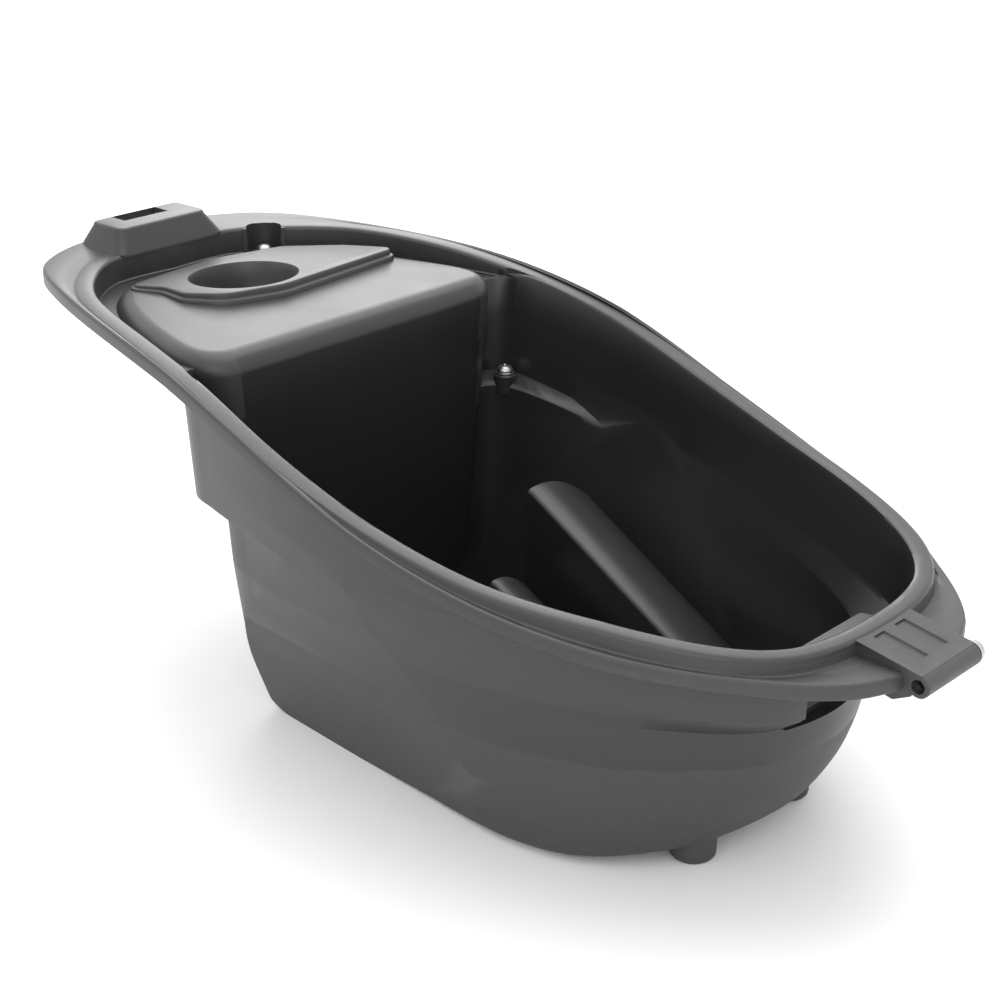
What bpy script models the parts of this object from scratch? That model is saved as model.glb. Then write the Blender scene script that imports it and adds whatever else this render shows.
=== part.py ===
"""Storage bucket that sits under the seat of a motor scooter.

One moulded tub with a rim, a rear deck with a filler opening, a latch block and a hinge tongue,
and the fittings that hold it and work with it. All sizes are in millimetres and are turned into
metres where a mesh is made. +X points to the hinge end, +Z up, and Z = 0 is what it stands on.
"""
import math

import bmesh
import bpy
from mathutils import Matrix, Vector

MM = 0.001

# ---- driving dimensions -------------------------------------------------------------------
WALL = 3.0                    # wall of the moulding
LENGTH_SCALE = 1.0            # stretches the rim, the deck and the tub along X
WIDTH_SCALE = 1.0             # stretches them along Y
COLUMN_STEPS = 3              # facets between two neighbouring stations of an outline

RIM_WIDTH = 12.0              # raised bead, from the mouth's edge outwards
SKIRT_HEIGHT = 9.0            # flange edge, top to bottom
MOUTH_ROUND = 2.5             # round on the mouth's edge

DECK_TOP = 235.0              # flat top of the tank cover
GUTTER_FLOOR = 227.0          # channel between flange and tank cover
GUTTER_REACH = 24.0           # how far the channel's sheet runs in under the cover
BULLNOSE = 13.0               # round along the cover's top edge
DECK_DRAFT = 4.5              # how far the rear wall leans back at its foot
LEDGE_Z = 163.0               # ledges in the two rear corners
LEDGE_FRONT = -90.0           # the ledges keep their height back from here
LEDGE_FADE = 70.0             # and run out over this length
STEP_Z = 151.0                # underside of those corners
FLOOR_Z = 0.0                 # underside of the floor

PAD_REAR_RISE = 2.2           # raised pad around the filler opening, above the cover
PAD_FRONT_RISE = 8.0
PAD_STEP = 2.4                # the step that runs around the pad

FILLER_BORE = 67.0
FILLER_X = -202.0
FILLER_Y = -6.0
COLLAR_DEPTH = 19.0           # neck of the filler opening, below the cover

BLOCK_REAR = -324.0           # latch block at the tail
BLOCK_FRONT = -279.0
BLOCK_WIDTH = 88.0
BLOCK_TOP = 260.0
BLOCK_DRAFT = 7.5
BLOCK_ROUND = 6.0
BLOCK_FOOT = 243.0            # the block's sides are upright up to 2 mm over this height
SLOT_LENGTH = 15.0            # latch opening in the block's rear edge
SLOT_WIDTH = 36.0
SLOT_Y = -2.0
SLOT_INSET = 6.0              # slot's rear edge, from the block's rear face

TONGUE_WIDTH = 50.0           # hinge tongue at the nose
TONGUE_ROOT = 279.0
TONGUE_ROOT_TOP = 151.3
TONGUE_TIP_TOP = 146.0
TONGUE_THICK = 5.0
BARREL_X = 319.0
BARREL_Z = 138.0
BARREL_RADIUS = 8.5
BARREL_LENGTH = 54.0
PIN_DIAMETER = 7.0
PIN_PLAY = 0.4                # radial play of the pin in its bore
PIN_RECESS = 7.0              # the pin's tip sits this far inside the near mouth of the bore
PIN_HEAD_DIAMETER = 12.0
PIN_HEAD_THICK = 3.0
WASHER_THICK = 1.2
WASHER_DIAMETER = 13.0
WELD = 0.004                  # points closer than this are one point
TOUCH = 0.3                   # gap kept between pieces that rest on each other

NOTCH_HALF = 55.0             # recess in the front wall, under the flange
NOTCH_FLOOR = 92.0
NOTCH_DEPTH = 15.0
NOTCH_DRAFT = 16.0            # each side of the recess leans in by this at its back

PEG_X = 201.0
PEG_Y = 44.0
PEG_DIAMETER = 26.0
PEG_HEIGHT = 32.0

SCREW_SHANK = 5.0
SCREW_HEAD = 11.0
SCREW_HEAD_HEIGHT = 4.2
SCREW_PLAY = 0.5
CORNER_SCREW = (-91.0, 122.0)
CORNER_SCREW_LENGTH = 18.0
CORNER_BOSS = 15.0            # diameter of the boss under each corner screw
CORNER_SEAT = 167.0           # top of those bosses
DECK_SCREW = (-267.0, 69.0)
DECK_SCREW_LENGTH = 12.0
DECK_POCKET = 23.0            # diameter of the pocket around the deck screw

PLUG_X = 166.0
PLUG_Y = -73.0
PLUG_STEM = 8.0
PLUG_HEAD = 14.0
PLUG_HEAD_HEIGHT = 3.5
PLUG_PLAY = 0.4
PLUG_BOSS = 15.0
PLUG_SEAT = 12.0              # top of the boss around the drain

# ---- outlines -----------------------------------------------------------------------------
# Each station is (x, half width, height), from the middle of the tail to the middle of the nose.
FLANGE_EDGE = [(-327, 0, 246), (-322.5, 47, 246), (-300, 88, 246), (-262, 110, 246),
               (-175, 137, 243), (-98, 152, 235), (-23, 162, 217), (57, 162, 188),
               (137, 150, 166), (206, 127, 154), (259, 92, 147), (301, 50, 143), (313, 0, 142)]
MOUTH_EDGE = [(-279, 0, 245), (-279, 47, 245), (-256, 79, 245), (-218, 107, 245),
              (-150, 127, 241), (-84, 138, 231), (-23, 147, 215), (51, 146, 191),
              (127, 134, 172), (189, 113, 164), (240, 86, 157), (264, 55, 153), (272, 0, 152)]
# The tub's outer wall, level by level, from under the rim down to the floor.
WALL_TOP = [(-113, 0, 227), (-113, 60, 227), (-113, 108, 227), (-112, 127, 228),
            (-104, 136, 230), (-86, 141, 231), (-23, 150, 215), (51, 149, 191),
            (128, 137, 172), (191, 116, 164), (242, 88, 157), (267, 57, 153), (275, 0, 152)]
WALL_STEP = [(-113, 0, 153), (-113, 60, 153), (-113, 106, 153), (-111, 123, 153),
             (-103, 131, 153), (-86, 136, 153), (-20, 146, 148), (51, 145, 140),
             (128, 133, 126), (190, 112, 118), (240, 87, 114), (265, 57, 110), (272, 0, 109)]
WALL_WAIST = [(-101, 0, 150), (-101, 60, 150), (-101, 100, 150), (-98, 113, 150),
              (-89, 120, 150), (-70, 126, 150), (-18, 141, 142), (52, 141, 126),
              (127, 130, 109), (189, 110, 102), (239, 86, 98), (264, 57, 94), (271, 0, 93)]
WALL_BELLY = [(-101, 0, 66), (-101, 55, 66), (-100, 94, 66), (-96, 106, 66),
              (-86, 112, 66), (-66, 117, 66), (-12, 123, 64), (54, 124, 60),
              (125, 121, 60), (184, 106, 62), (232, 84, 66), (259, 56, 68), (268, 0, 68)]
WALL_KEEL = [(-98, 0, 16), (-98, 52, 16), (-97, 85, 16), (-93, 96, 16),
             (-84, 101, 16), (-62, 104, 16), (-8, 106, 16), (56, 108, 16),
             (118, 109, 16), (168, 99, 18), (203, 76, 22), (223, 48, 26), (231, 0, 28)]
WALL_FOOT = [(-90, 0, 0), (-90, 48, 0), (-89, 77, 0), (-85, 86, 0),
             (-76, 91, 0), (-58, 94, 0), (-6, 96, 0), (56, 98, 0),
             (114, 101, 0), (158, 91, 2), (188, 68, 7), (205, 44, 12), (212, 0, 14)]
# The tank cover, from the middle of its rear edge to the middle of its front face.
COVER = [(-262, 0, 0), (-262, 42, 0), (-249, 68, 0), (-214, 88, 0), (-160, 103, 0),
         (-124, 111, 0), (-106, 108, 0), (-95, 97, 0), (-93, 80, 0), (-93, 40, 0), (-93, 0, 0)]
# The raised pad on the cover, counter-clockwise from above, with its corner radii.
PAD = [(-242, -64, 5), (-220, -55, 12), (-196, -58, 12), (-172, -45, 24), (-160, -8, 30),
       (-170, 96, 6), (-206, 88, 10), (-240, 62, 12), (-254, 10, 12)]
# Rises in the floor: name, rear top (x, y, z), front end (x, z), half width.
HUMPS = [("ridge", (-2, 74, 130), (190, 15), 29), ("low_hump", (9, 14, 88), (150, 10), 15)]
HUMP_END = 8.0                # height at which a rise runs out
FAR = 400.0                   # beyond the object on every side
FACET = [(-97, -109, 64), (50, -101, 0), (-89, -89, 0)]      # flat that trims the lower sides


# ---- outline helpers ----------------------------------------------------------------------
def along(x):
    return x * LENGTH_SCALE


def across(y):
    return y * WIDTH_SCALE


def spline(previous, start, end, following, t):
    """A point of a centripetal Catmull-Rom curve between start and end."""
    points = [Vector(p) for p in (previous, start, end, following)]
    knots = [0.0]
    for a, b in zip(points, points[1:]):
        knots.append(knots[-1] + max((b - a).length, 1e-6) ** 0.5)
    u = knots[1] + t * (knots[2] - knots[1])
    for level in range(1, 4):
        points = [points[i].lerp(points[i + 1], (u - knots[i]) / (knots[i + level] - knots[i]))
                  for i in range(len(points) - 1)]
    return points[0]


def around(stations, steps=COLUMN_STEPS):
    """Closed ring through half an outline and its mirror image, the same count for each."""
    half = [Vector((along(x), -across(y), z)) for x, y, z in stations]
    flip = Matrix.Diagonal((1, -1, 1))
    full = [flip @ half[1]] + half + [flip @ half[-2]]
    side = []
    for i in range(1, len(full) - 2):
        side += [spline(*full[i - 1:i + 3], s / steps) for s in range(steps)]
    side.append(half[-1].copy())
    return side + [flip @ p for p in reversed(side[1:-1])]


def moved(ring, outwards=0.0, up=0.0):
    """The ring shifted sideways along its own normals in plan, and up."""
    result = []
    for i, point in enumerate(ring):
        tangent = ring[(i + 1) % len(ring)] - ring[i - 1]
        normal = Vector((tangent.y, -tangent.x, 0)).normalized()
        result.append(point + normal * outwards + Vector((0, 0, up)))
    return result


def levelled(ring, z):
    return [Vector((p.x, p.y, z)) for p in ring]


def between(lower, upper, share):
    return [a.lerp(b, share) for a, b in zip(lower, upper)]


def rounded(corners, steps=3):
    """Closed plan outline of straight runs and corner arcs from (x, y, radius)."""
    outline = []
    for i, (x, y, radius) in enumerate(corners):
        here = Vector((x, y))
        back = (Vector(corners[i - 1][:2]) - here).normalized()
        ahead = (Vector(corners[(i + 1) % len(corners)][:2]) - here).normalized()
        half_angle = back.angle(ahead) / 2
        reach = radius / math.tan(half_angle)
        centre = here + (back + ahead).normalized() * radius / math.sin(half_angle)
        start = here + back * reach - centre
        sweep = math.pi - 2 * half_angle
        if back.cross(ahead) > 0:
            sweep = -sweep
        for s in range(steps + 1):
            turned = Matrix.Rotation(sweep * s / steps, 2) @ start
            outline.append(Vector((*(centre + turned), 0)))
    return outline


# ---- mesh helpers -------------------------------------------------------------------------
def solid(name, rings, closed=False):
    """Closed body through rings that run upwards; closed joins the last ring to the first."""
    mesh = bpy.data.meshes.new(name)
    shell = bmesh.new()
    rows = [[shell.verts.new(p * MM) for p in ring] for ring in rings]
    count = len(rows[0])
    pairs = list(zip(rows, rows[1:])) + ([(rows[-1], rows[0])] if closed else [])
    for low, high in pairs:
        for i in range(count):
            j = (i + 1) % count
            shell.faces.new((low[i], low[j], high[j], high[i]))
    if not closed:
        shell.faces.new(reversed(rows[0]))
        shell.faces.new(rows[-1])
    bmesh.ops.triangulate(shell, faces=[f for f in shell.faces if len(f.verts) > 4])
    bmesh.ops.recalc_face_normals(shell, faces=shell.faces)
    shell.to_mesh(mesh)
    shell.free()
    body = bpy.data.objects.new(name, mesh)
    bpy.context.scene.collection.objects.link(body)
    return body


def block(name, low, high):
    corners = [(low[0], low[1]), (high[0], low[1]), (high[0], high[1]), (low[0], high[1])]
    return solid(name, [[Vector((x, y, z)) for x, y in corners] for z in (low[2], high[2])])


def spin(profile, place, axis, segments):
    """Rings of a turned body: profile is (radius, height) along the axis, from place."""
    turn = {"Z": Matrix.Identity(3), "Y": Matrix.Rotation(-math.pi / 2, 3, "X")}[axis]
    angles = [2 * math.pi * s / segments for s in range(segments)]
    return [[turn @ Vector((radius * math.cos(a), radius * math.sin(a), height)) + Vector(place)
             for a in angles] for radius, height in profile]


def turned(name, profile, place, axis="Z", segments=16):
    return solid(name, spin(profile, place, axis, segments))


def hollow_turned(name, profile, place, axis="Z", segments=16):
    """Turned ring: the profile is a closed loop of (radius, height)."""
    return solid(name, spin(profile, place, axis, segments), closed=True)


def boolean(body, tool, operation, solver):
    """Mesh of the Boolean of body and tool, with its slivers and double points removed."""
    step = body.modifiers.new(operation.lower(), "BOOLEAN")
    step.operation = operation
    step.object = tool
    step.solver = solver
    bpy.context.view_layer.update()
    graph = bpy.context.evaluated_depsgraph_get()
    result = bpy.data.meshes.new_from_object(body.evaluated_get(graph))
    body.modifiers.clear()
    clean = bmesh.new()
    clean.from_mesh(result)
    bmesh.ops.triangulate(clean, faces=clean.faces)
    bmesh.ops.remove_doubles(clean, verts=clean.verts, dist=WELD * MM)
    bmesh.ops.dissolve_degenerate(clean, edges=clean.edges, dist=WELD * MM)
    clean.to_mesh(result)
    clean.free()
    return result


def is_one_body(mesh):
    """True for a closed mesh whose faces all hang together."""
    shell = bmesh.new()
    shell.from_mesh(mesh)
    closed = bool(shell.faces) and all(len(edge.link_faces) == 2 for edge in shell.edges)
    reached = set()
    waiting = list(shell.verts)[:1]
    while waiting:
        vertex = waiting.pop()
        if vertex not in reached:
            reached.add(vertex)
            waiting += [edge.other_vert(vertex) for edge in vertex.link_edges]
    whole = closed and len(reached) == len(shell.verts)
    shell.free()
    return whole


def combine(body, tool, operation):
    """Boolean of body and tool, kept on body; the tool is used up."""
    result = boolean(body, tool, operation, "EXACT")
    if not is_one_body(result):
        result = boolean(body, tool, operation, "MANIFOLD")
    body.data = result
    bpy.data.objects.remove(tool)


def merge_flats(body):
    """Joins neighbouring triangles that lie in one plane."""
    shell = bmesh.new()
    shell.from_mesh(body.data)
    bmesh.ops.dissolve_limit(shell, angle_limit=math.radians(1.0), verts=shell.verts,
                             edges=shell.edges, use_dissolve_boundaries=False)
    bmesh.ops.triangulate(shell, faces=shell.faces)
    shell.to_mesh(body.data)
    shell.free()


def add(body, tool):
    combine(body, tool, "UNION")


def cut(body, tool):
    combine(body, tool, "DIFFERENCE")


# ---- the moulding -------------------------------------------------------------------------
def rim_sheet():
    """Flange with its skirt and bead, and the gutter's floor inside it, as one closed band."""
    edge = around(FLANGE_EDGE)
    mouth = around(MOUTH_EDGE)
    foot = moved(mouth, RIM_WIDTH)
    foot = [Vector((f.x, f.y, min(e.z + 0.3, m.z - 0.4))) for f, e, m in zip(foot, edge, mouth)]
    floor = [min(GUTTER_FLOOR, m.z - 8) for m in mouth]
    gutter = [Vector((p.x, p.y, z)) for p, z in zip(moved(mouth, -1.0), floor)]
    reach = [Vector((p.x, p.y, z)) for p, z in zip(moved(mouth, -GUTTER_REACH), floor)]
    short = [Vector((p.x, p.y, z)) for p, z in zip(moved(mouth, -GUTTER_REACH / 3), floor)]
    inner = [long if long.x < along(WALL_WAIST[0][0]) else near
             for long, near in zip(reach, short)]
    rings = [
        moved(edge, -WALL, -SKIRT_HEIGHT), moved(edge, 0.5, -SKIRT_HEIGHT), moved(edge, 0, -1.2),
        moved(edge, -1.2), foot, moved(mouth, RIM_WIDTH - 2.5, -0.2),
        moved(mouth, 1.5), moved(mouth, 0, -1.5),
        gutter, inner, moved(inner, 0, -WALL), moved(gutter, WALL, -WALL),
        moved(foot, -2, -WALL), moved(edge, -WALL, -WALL - 1),
    ]
    return solid("rim_sheet", list(reversed(rings)), closed=True)


def wall_rings(outwards):
    """Levels of the tub's wall, floor first; a negative outwards gives the inner face."""
    rise = -outwards
    levels = []
    foot = [Vector((p.x, p.y, max(p.z, FLOOR_Z))) for p in around(WALL_FOOT)]
    foot = moved(foot, outwards, rise)
    keel = moved(around(WALL_KEEL), outwards, rise * 0.4)
    belly = moved(around(WALL_BELLY), outwards)
    waist = moved(around(WALL_WAIST), outwards)
    step = moved(around(WALL_STEP), outwards)
    top = moved(around(WALL_TOP), outwards)
    turn = moved(between(foot, keel, 0.5), 2.6, -2.2)
    swell = moved(between(keel, belly, 0.5), 2.2)
    levels += [foot, turn, keel, swell, belly, moved(between(belly, waist, 0.5), 1.2), waist, step]
    levels += [between(step, top, 0.5), top]
    return levels


def tub_outside():
    levels = wall_rings(0.0)
    levels[-1] = moved(levels[-1], 0, -1.0)
    return solid("tub_outside", levels)


def tub_inside():
    """The space inside the tub, with ledges in the rear corners and a rounded mouth."""
    levels = wall_rings(-WALL)
    lift = LEDGE_Z - STEP_Z
    for index in (-4, -3):
        level = levels[index]
        levels[index] = [p + Vector((0, 0, lift * ledge_share(p))) for p in level]
    mouth = levels.pop()
    levels += [moved(mouth, 0, -MOUTH_ROUND), moved(mouth, 0.3 * MOUTH_ROUND, -0.3 * MOUTH_ROUND),
               moved(mouth, MOUTH_ROUND, 0.05), moved(mouth, MOUTH_ROUND, 40)]
    return solid("tub_inside", levels)


def ledge_share(point):
    """1 at the rear corners, falling to 0 where the ledge runs out along the side."""
    run_out = along(LEDGE_FRONT + LEDGE_FADE) - point.x
    return max(0.0, min(1.0, run_out / along(LEDGE_FADE)))


def side_facet(inset):
    """Cutters for the flats on the lower sides, one for each side."""
    tools = []
    for side in (1, -1):
        crease_rear, crease_front, foot = [
            Vector((along(x), across(y) * side, z)) for x, y, z in FACET]
        crease = (crease_front - crease_rear).normalized()
        normal = crease.cross(foot - crease_rear).normalized()
        if normal.y * side > 0:
            normal.negate()
        fall = normal.cross(crease)
        base = (crease_rear + crease_front) / 2 - normal * inset
        near = [base + (crease * a + fall * b) * FAR / 2
                for a, b in ((-1, -1), (1, -1), (1, 1), (-1, 1))]
        tools.append(solid("facet", [near, [p + normal * FAR / 5 for p in near]]))
    return tools


def front_notch(grow):
    """Recess under the flange in the front wall, seen from outside."""
    half = NOTCH_HALF + grow
    depth = NOTCH_DEPTH + grow
    front = along(WALL_STEP[-1][0])
    ahead = 2 * NOTCH_DEPTH
    flare = NOTCH_DRAFT * ahead / depth / 5
    plan = [(front - depth, -half + NOTCH_DRAFT), (front + ahead, -half - flare),
            (front + ahead, half + flare), (front - depth, half - NOTCH_DRAFT)]
    top = WALL_TOP[-1][2] + 2 * SKIRT_HEIGHT
    return solid("front_notch", [[Vector((x, y, z)) for x, y in plan]
                                 for z in (NOTCH_FLOOR - grow, top)])


def cover_solid(inset, bottom):
    """The tank cover as a filled shape with a rounded top edge."""
    top = DECK_TOP - inset
    radius = BULLNOSE - inset
    plan = moved(around(COVER), -inset)
    front = along(COVER[-1][0]) - 2 * BULLNOSE
    low = [p + Vector((-DECK_DRAFT if p.x > front else 0, 0, 0)) for p in plan]
    rings = [levelled(low, bottom), levelled(plan, top - radius)]
    for s in range(1, 5):
        angle = math.pi / 2 * s / 4
        inwards = radius * (1 - math.cos(angle))
        rings.append(levelled(moved(plan, -inwards), top - radius * (1 - math.sin(angle))))
    return solid("cover", rings)


def pad_rise(x):
    """Height of the pad over the cover, which grows from its rear edge to its front edge."""
    rear = along(PAD[-1][0])
    front = along(PAD[4][0])
    return PAD_REAR_RISE + (PAD_FRONT_RISE - PAD_REAR_RISE) * (x - rear) / (front - rear)


def pad_solid():
    """The pad, with a step that runs all around it."""
    plan = rounded([(along(x), across(y), r) for x, y, r in PAD])
    rings = [levelled(moved(plan, PAD_STEP + 1.5), DECK_TOP - 2)]
    for outwards, share in ((PAD_STEP + 0.6, 0.40), (PAD_STEP - 0.4, 0.47), (0.6, 0.53),
                            (0.0, 0.88), (-1.0, 1.0)):
        ring = moved(plan, outwards)
        rings.append([Vector((p.x, p.y, DECK_TOP + share * pad_rise(p.x))) for p in ring])
    return solid("pad", rings)


def latch_block(inset):
    """Drafted block with rounded corners; inset gives the hollow inside it."""
    half = BLOCK_WIDTH / 2 - inset
    rear = along(BLOCK_REAR) + inset
    front = along(BLOCK_FRONT) - inset
    lean = BLOCK_DRAFT
    radius = BLOCK_ROUND - inset
    bottom = rounded([(rear, -half, radius), (front, -half, radius),
                      (front, half, radius), (rear, half, radius)])
    top = rounded([(rear + lean * 0.6, -half + lean, radius), (front - lean, -half + lean, radius),
                   (front - lean, half - lean, radius), (rear + lean * 0.6, half - lean, radius)])
    height = BLOCK_TOP - inset
    if inset:
        return solid("block_hollow", [levelled(bottom, BLOCK_FOOT - 10 * inset),
                                      levelled(bottom, BLOCK_FOOT + 1), levelled(top, height)])
    return solid("latch_block", [levelled(bottom, BLOCK_FOOT), levelled(bottom, BLOCK_FOOT + 2),
                                 levelled(top, height - 2), levelled(moved(top, -2), height)])


def tongue_solids():
    """Hinge tongue: a sloping plate and two side webs, from the rim down to the barrel."""
    half = TONGUE_WIDTH / 2
    root = along(TONGUE_ROOT)
    tip = along(BARREL_X)
    low_root = TONGUE_ROOT_TOP - 9
    plate = [(root - 3, low_root), (root + 13, low_root - 0.5),
             (tip - BARREL_RADIUS - 4, TONGUE_TIP_TOP - TONGUE_THICK + 0.6),
             (tip, BARREL_Z + 1), (tip + 2, TONGUE_TIP_TOP - 0.3),
             (root + 1, TONGUE_ROOT_TOP), (root - 3, TONGUE_ROOT_TOP - 1)]
    web = [(root - 2, TONGUE_ROOT_TOP - 19), (root + 26, BARREL_Z - 12), (tip - 4, BARREL_Z - 7),
           (tip + 1, BARREL_Z), (tip, BARREL_Z + 5), (root + 3, TONGUE_ROOT_TOP - 4)]
    bodies = []
    for name, profile, low, high in (("plate", plate, -half, half),
                                     ("near_web", web, -half + 0.4, -half + 5),
                                     ("far_web", web, half - 5, half - 0.4)):
        bodies.append(solid(name, [[Vector((x, y, z)) for x, z in profile] for y in (low, high)]))
    return bodies


def column(inset):
    """What lies inside the tub's wall, carried on down below the floor."""
    levels = wall_rings(-inset)
    body = solid("column", [levelled(levels[0], -FAR / 4)] + levels)
    for tool in side_facet(inset):
        cut(body, tool)
    return body


def hump(name, place, end, half_width, inset=0.0):
    """Half-round rise in the floor, from its upright rear face at place down to end."""
    x, y, top = place
    end_x, end_top = end
    steps = 8
    radius = half_width - inset
    slope = (end_top - top) / along(end_x - x)
    rings = []
    for station in (along(x) + inset, along(x) + (HUMP_END - top) / slope):
        crown = top - inset + slope * (station - along(x))
        low = crown - FLOOR_Z - FAR / 2
        ring = [Vector((station, across(y) + side * radius, low)) for side in (-1, 1)]
        for s in range(steps + 1):
            angle = math.pi * s / steps
            ring.append(Vector((station, across(y) + radius * math.cos(angle),
                                crown - radius * 0.8 * (1 - math.sin(angle)))))
        rings.append(ring)
    body = solid(name, rings)
    floor = FLOOR_Z - FAR / 8 if inset else FLOOR_Z + WALL / 2
    cut(body, block("under_hump", (-FAR, -FAR, -FAR), (FAR, FAR, floor)))
    combine(body, column(WALL if inset else WALL / 2), "INTERSECT")
    return body


def storage_tub():
    """The whole moulding, as one closed body."""
    outside = tub_outside()
    for tool in side_facet(0.0):
        cut(outside, tool)
    cut(outside, front_notch(0.0))
    inside = tub_inside()
    for tool in side_facet(WALL):
        cut(inside, tool)
    cut(inside, front_notch(WALL))

    tub = rim_sheet()
    add(tub, outside)
    add_pegs(tub)
    cut(tub, inside)
    add_tank_cover(tub)
    add_latch_block(tub)
    add_tongue(tub)
    for name, place, end, half_width in HUMPS:
        add(tub, hump(name, place, end, half_width))
        cut(tub, hump(name + "_hollow", place, end, half_width, WALL))
    add_bosses(tub)
    tub.name = "storage_tub"
    merge_flats(tub)
    return tub


def add_tank_cover(tub):
    """Cover over the tank, its pad and the filler opening through both."""
    add(tub, cover_solid(0.0, FAR / 10))
    cut(tub, cover_solid(WALL, STEP_Z - 6))
    rear_wall = along(WALL_TOP[0][0]) + TOUCH
    cut(tub, block("under_deck", (-FAR, -FAR, -FAR), (rear_wall, FAR, GUTTER_FLOOR - WALL - 2)))
    rear_foot = along(WALL_WAIST[0][0]) + TOUCH
    cut(tub, block("under_step", (-FAR, -FAR, -FAR), (rear_foot, FAR, STEP_Z - WALL / 2)))
    add(tub, pad_solid())
    filler = (along(FILLER_X), across(FILLER_Y), DECK_TOP)
    neck = FILLER_BORE / 2
    collar = [(neck + WALL, -COLLAR_DEPTH), (neck + WALL, -0.5)]
    add(tub, turned("collar", collar, filler, segments=28))
    flare = [(neck, -FAR / 5), (neck, 2.0), (neck + 6, 12), (neck + 6, 30)]
    cut(tub, turned("filler", flare, filler, segments=28))


def add_latch_block(tub):
    add(tub, latch_block(0.0))
    cut(tub, latch_block(WALL))
    rear = along(BLOCK_REAR) + SLOT_INSET
    low = (rear, SLOT_Y - SLOT_WIDTH / 2, BLOCK_TOP - 8)
    cut(tub, block("slot", low, (rear + SLOT_LENGTH, SLOT_Y + SLOT_WIDTH / 2, BLOCK_TOP + 8)))


def add_tongue(tub):
    for body in tongue_solids():
        add(tub, body)
    start = (along(BARREL_X), -BARREL_LENGTH / 2, BARREL_Z)
    barrel = [(BARREL_RADIUS, 0), (BARREL_RADIUS, BARREL_LENGTH)]
    add(tub, turned("barrel", barrel, start, "Y", 28))
    bore = PIN_DIAMETER / 2 + PIN_PLAY
    cut(tub, turned("bore", [(bore, -5), (bore, BARREL_LENGTH + 5)], start, "Y", 20))


def add_pegs(tub):
    """Two pegs under the nose, level with the floor of the tub."""
    radius = PEG_DIAMETER / 2
    peg = [(radius - 3, 0), (radius, 2.5), (radius + 0.6, PEG_HEIGHT)]
    for side in (-1, 1):
        add(tub, turned("peg", peg, (along(PEG_X), side * across(PEG_Y), 0)))


def add_bosses(tub):
    """Seats of the screws, and the drain."""
    corner_right, corner_left, deck = screw_places()
    for x, y, z in (corner_right, corner_left):
        boss = [(CORNER_BOSS / 2, STEP_Z + 4), (CORNER_BOSS / 2, z)]
        add(tub, turned("screw_boss", boss, (x, y, 0)))
    x, y, z = deck
    pocket = DECK_POCKET / 2
    rim_top = FLANGE_EDGE[0][2]
    wall = [(pocket + WALL, z - WALL + 0.4), (pocket + WALL, rim_top - 1.6)]
    add(tub, turned("pocket_wall", wall, (x, y, 0), segments=24))
    cut(tub, turned("pocket", [(pocket, z), (pocket + 0.8, rim_top + 10)], (x, y, 0), segments=24))
    shank = SCREW_SHANK / 2 + SCREW_PLAY
    for place in screw_places():
        cut(tub, turned("screw_hole", [(shank, -40), (shank, 30)], place))
    drain = (along(PLUG_X), across(PLUG_Y), 0)
    boss = [(PLUG_BOSS / 2, PLUG_SEAT - 8.5), (PLUG_BOSS / 2, PLUG_SEAT)]
    add(tub, turned("plug_boss", boss, drain, segments=20))
    stem = PLUG_STEM / 2 + PLUG_PLAY
    cut(tub, turned("drain", [(stem, -5), (stem, 30)], drain, segments=20))


# ---- the fittings -------------------------------------------------------------------------
def screw_places():
    """Seat of each screw: x, y and the height of the plastic under its washer."""
    x, y = CORNER_SCREW
    seats = [(along(x), side * across(y), CORNER_SEAT) for side in (-1, 1)]
    x, y = DECK_SCREW
    return seats + [(along(x), across(y), GUTTER_FLOOR)]


def washer(name, place, hole, axis="Z"):
    outer = WASHER_DIAMETER / 2
    loop = [(hole, 0), (outer, 0), (outer, WASHER_THICK), (hole, WASHER_THICK)]
    return hollow_turned(name, loop, place, axis)


def screw(name, place, length):
    """Dome-headed screw that stands on its washer and runs down through the plastic."""
    shank = SCREW_SHANK / 2
    head = SCREW_HEAD / 2
    seat = TOUCH + WASHER_THICK + TOUCH
    profile = [(shank * 0.5, -length), (shank, -length + 2), (shank, seat), (head, seat),
               (head, seat + 1.0), (head * 0.82, seat + SCREW_HEAD_HEIGHT * 0.72),
               (head * 0.45, seat + SCREW_HEAD_HEIGHT)]
    return turned(name, profile, place)


def hinge_pin():
    """Headed pin in the barrel, with its origin on the hinge axis."""
    radius = PIN_DIAMETER / 2
    near = -BARREL_LENGTH / 2 + PIN_RECESS
    far = BARREL_LENGTH / 2 + TOUCH + WASHER_THICK + TOUCH
    head = PIN_HEAD_DIAMETER / 2
    profile = [(radius - 0.8, near), (radius, near + 1), (radius, far), (head, far),
               (head, far + PIN_HEAD_THICK - 0.8), (head - 0.8, far + PIN_HEAD_THICK)]
    pin = turned("hinge_pin", profile, (0, 0, 0), "Y", 20)
    pin.location = (along(BARREL_X) * MM, 0, BARREL_Z * MM)
    return pin


def drain_plug():
    """Rubber plug: its head lies on the boss in the tub, its stem runs out through the floor."""
    stem = PLUG_STEM / 2
    head = PLUG_HEAD / 2
    seat = PLUG_SEAT + TOUCH
    top = seat + PLUG_HEAD_HEIGHT
    profile = [(stem - 1, TOUCH), (stem, TOUCH + 1), (stem, seat), (head, seat), (head, top - 1),
               (head - 1, top)]
    plug = turned("drain_plug", profile, (0, 0, 0), segments=20)
    plug.location = (along(PLUG_X) * MM, across(PLUG_Y) * MM, 0)
    return plug


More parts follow.
